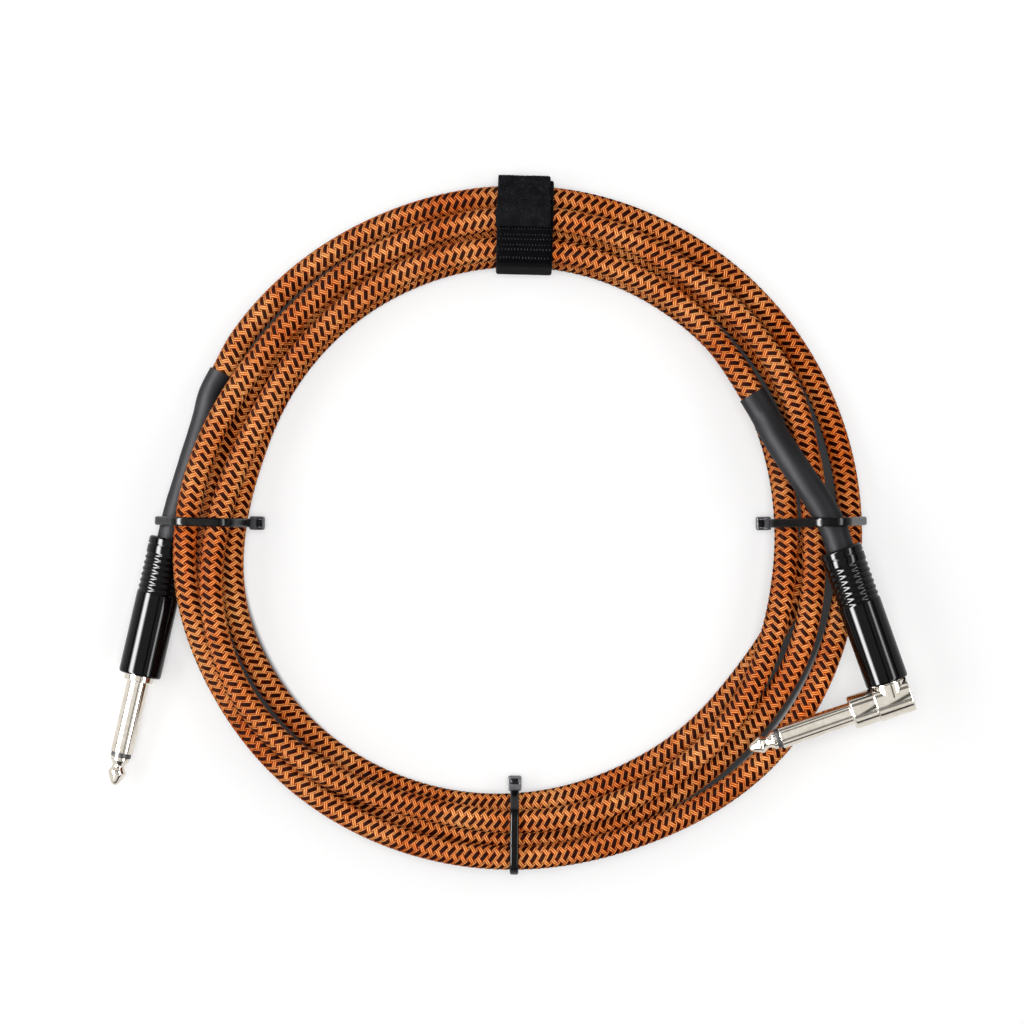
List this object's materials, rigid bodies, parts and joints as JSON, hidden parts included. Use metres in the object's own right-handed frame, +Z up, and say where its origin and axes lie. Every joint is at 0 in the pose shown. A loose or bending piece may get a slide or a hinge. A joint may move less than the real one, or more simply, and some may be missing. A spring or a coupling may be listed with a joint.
{
  "type": "instrument cable",
  "caption": "Woven instrument cable wound in a flat coil, with a straight and a right-angle phone plug, nylon ties and a hook-and-loop strap.",
  "frame": {"origin": "middle of the coil, on the surface that the cable lies on", "axes": "+Z up from the surface, +Y from the coil's middle to the strap, +X to the right-angle plug"},
  "size_m": [0.23, 0.2001, 0.0263],
  "materials": {
    "woven_cord": "textile braid, orange over black",
    "nickel": "polished nickel plate",
    "black_barrel": "gloss black lacquer on turned metal",
    "shrink_sleeve": "satin heat-shrink tubing",
    "black_insulator": "moulded",
    "white_plastic": "extruded",
    "brass": "stamped",
    "copper": "bare copper wire",
    "black_nylon": "moulded nylon",
    "loop_fabric": "brushed loop pile",
    "hook_fabric": "moulded hooks"
  },
  "bodies": {
    "cable": {"cord_coil": "woven_cord", "straight_tip": "nickel", "straight_tip_insulator": "black_insulator", "straight_shank": "nickel", "straight_rear_insulator": "black_insulator", "straight_tip_lug": "brass", "straight_cable_clamp": "brass", "straight_sleeve": "shrink_sleeve", "straight_lead": "woven_cord", "straight_core_insulation": "white_plastic", "straight_core_wire": "copper", "straight_shield_tail": "copper", "angle_tip": "nickel", "angle_tip_insulator": "black_insulator", "angle_shank": "nickel", "angle_elbow": "nickel", "angle_elbow_cap": "nickel", "angle_rear_insulator": "black_insulator", "angle_tip_lug": "brass", "angle_cable_clamp": "brass", "angle_sleeve": "shrink_sleeve", "angle_lead": "woven_cord", "angle_core_insulation": "white_plastic", "angle_core_wire": "copper", "angle_shield_tail": "copper", "left_tie": "black_nylon", "right_tie": "black_nylon", "bottom_tie": "black_nylon", "strap_band": "loop_fabric", "strap_hooks": "hook_fabric"},
    "straight_liner": {"straight_liner": "white_plastic"},
    "straight_barrel": {"straight_barrel": "black_barrel"},
    "angle_liner": {"angle_liner": "white_plastic"},
    "angle_barrel": {"angle_barrel": "black_barrel"},
    "strap_tab": {"strap_tab": "loop_fabric"}
  },
  "joints": [
    {"name": "straight_barrel_travel", "type": "slide", "parent": "cable", "child": "straight_liner", "axis": [0.225, 0.9744, 0], "range_m": [0, 0.00225]},
    {"name": "straight_barrel_turn", "type": "hinge", "parent": "straight_liner", "child": "straight_barrel", "pos_m": [-0.09921, -0.0026, 0.0063], "axis": [0.225, 0.9744, 0], "range_deg": [0, 1080]},
    {"name": "angle_barrel_travel", "type": "slide", "parent": "cable", "child": "angle_liner", "axis": [-0.3338, 0.9426, 0], "range_m": [0, 0.00225]},
    {"name": "angle_barrel_turn", "type": "hinge", "parent": "angle_liner", "child": "angle_barrel", "pos_m": [0.0912, -0.00518, 0.0202], "axis": [-0.3338, 0.9426, 0], "range_deg": [0, 1080]},
    {"name": "strap_tab_peel", "type": "hinge", "parent": "cable", "child": "strap_tab", "pos_m": [0.00265, 0.10112, 0.005], "axis": [-0.9997, 0.0262, 0], "range_deg": [0, 110]}
  ],
  "couplings": [
    {"joint": "straight_barrel_travel", "follows": "straight_barrel_turn", "m_per_rad": 0.00011936},
    {"joint": "angle_barrel_travel", "follows": "angle_barrel_turn", "m_per_rad": 0.00011936}
  ]
}
